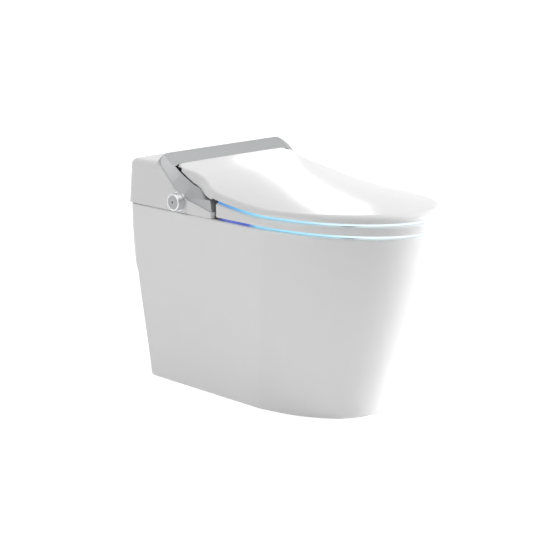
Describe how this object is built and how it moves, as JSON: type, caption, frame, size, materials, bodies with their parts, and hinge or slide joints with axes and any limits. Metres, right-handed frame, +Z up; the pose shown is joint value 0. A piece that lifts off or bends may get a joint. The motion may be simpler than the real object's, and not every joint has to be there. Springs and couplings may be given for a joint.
{
  "type": "smart toilet",
  "caption": "Skirted one-piece toilet with a wash unit on its rear deck, a heated seat and a domed lid on damped hinges, edge lighting, sliding wash wands and a side control knob.",
  "frame": {"origin": "centre of the waste outlet horn at floor level", "axes": "+Z up, the user faces -Y, the wall is at +Y, the control knob is on the user's right at -X"},
  "size_m": [0.4086, 0.691, 0.515],
  "materials": {
    "ceramic": "glossy white glaze",
    "white_gloss": "glossy white",
    "white_satin": "satin white",
    "silver": "satin silver paint",
    "knob_metal": "turned and satin",
    "knob_face": "pale gloss",
    "lens_dark": "dark gloss",
    "light": "lit translucent strip",
    "pad_rubber": "matt",
    "hose_rubber": "matt",
    "grey_plastic": "moulded",
    "dark_plastic": "moulded",
    "steel": "brushed",
    "chrome": "polished",
    "brass": "machined",
    "foil": "foil",
    "board": "circuit board"
  },
  "bodies": {
    "base": {"ceramic_body": "ceramic", "rim_deck": "ceramic", "bowl_basin": "ceramic", "trapway": "ceramic", "inlet_fitting": "brass", "lead_gland": "dark_plastic", "supply_hose": "hose_rubber", "flush_tank": "grey_plastic", "flush_pump": "dark_plastic", "flush_hose": "hose_rubber", "float_stem": "white_satin", "chassis": "white_satin", "chassis_bolts": "steel", "chassis_nuts": "steel", "rear_cover": "white_gloss", "cover_screws": "steel", "trim_band": "silver", "side_panel_left": "white_gloss", "side_panel_right": "white_gloss", "fascia": "white_satin", "hinge_posts": "white_satin", "lid_dampers": "grey_plastic", "lid_hinge_pins": "steel", "seat_brackets": "white_satin", "seat_hinge_pins": "steel", "knob_bezel": "chrome", "knob_encoder": "dark_plastic", "wand_guide": "white_satin", "wand_motors": "steel", "dryer_housing": "dark_plastic", "dryer_motor": "steel", "water_heater": "dark_plastic", "inlet_valve": "grey_plastic", "wash_pump": "steel", "odour_filter": "grey_plastic", "power_supply": "dark_plastic", "control_board": "board"},
    "lid": {"lid_shell": "white_gloss", "lid_liner": "white_gloss", "lid_hinge_ears": "white_satin", "lid_pads": "pad_rubber", "lid_light_strip": "light"},
    "seat": {"seat_shell": "white_gloss", "seat_base": "white_gloss", "seat_heater": "foil", "seat_pads": "pad_rubber", "seat_light_strip": "light", "seat_bushes": "grey_plastic"},
    "knob": {"knob_ring": "knob_metal", "knob_shaft": "steel"},
    "button": {"knob_button": "knob_face", "button_lens": "lens_dark"},
    "wand_front": {"front_wand": "white_satin", "front_wand_tip": "chrome"},
    "wand_rear": {"rear_wand": "white_satin", "rear_wand_tip": "chrome"},
    "gear_front": {"front_pinion": "grey_plastic"},
    "gear_rear": {"rear_pinion": "grey_plastic"},
    "fan": {"dryer_fan": "grey_plastic"},
    "float": {"level_float": "dark_plastic"}
  },
  "joints": [
    {"name": "lid_hinge", "type": "hinge", "parent": "base", "child": "lid", "pos_m": [0, 0.15697, 0.48196], "axis": [-1, 0, 0], "range_deg": [0, 100]},
    {"name": "seat_hinge", "type": "hinge", "parent": "base", "child": "seat", "pos_m": [0, 0.07, 0.425], "axis": [-1, 0, 0], "range_deg": [0, 92]},
    {"name": "knob_turn", "type": "hinge", "parent": "base", "child": "knob", "pos_m": [-0.2, 0.1255, 0.425], "axis": [-1, 0, 0], "range_deg": [-30, 30], "stiffness_Nm_per_rad": 0.1},
    {"name": "button_press", "type": "slide", "parent": "knob", "child": "button", "axis": [1, 0, 0], "range_m": [0, 0.003], "stiffness_N_per_m": 400},
    {"name": "front_wand_slide", "type": "slide", "parent": "base", "child": "wand_front", "axis": [0, -0.9659, -0.2588], "range_m": [0, 0.11]},
    {"name": "rear_wand_slide", "type": "slide", "parent": "base", "child": "wand_rear", "axis": [0, -0.9659, -0.2588], "range_m": [0, 0.11]},
    {"name": "front_gear_turn", "type": "hinge", "parent": "base", "child": "gear_front", "pos_m": [0.03625, 0.06091, 0.41628], "axis": [0, -0.2588, 0.9659], "range_deg": [0, 710]},
    {"name": "rear_gear_turn", "type": "hinge", "parent": "base", "child": "gear_rear", "pos_m": [-0.03625, 0.06091, 0.41628], "axis": [0, -0.2588, 0.9659], "range_deg": [-710, 0]},
    {"name": "fan_spin", "type": "hinge", "parent": "base", "child": "fan", "pos_m": [-0.08, 0.202, 0.43], "axis": [0, 0, 1], "continuous": true},
    {"name": "float_rise", "type": "slide", "parent": "base", "child": "float", "axis": [0, 0, 1], "range_m": [0, 0.08]}
  ],
  "couplings": [
    {"joint": "seat_hinge", "follows": "lid_hinge", "ratio": 0.92},
    {"joint": "front_gear_turn", "follows": "front_wand_slide", "rad_per_m": 111.11},
    {"joint": "rear_gear_turn", "follows": "rear_wand_slide", "rad_per_m": -111.11}
  ]
}
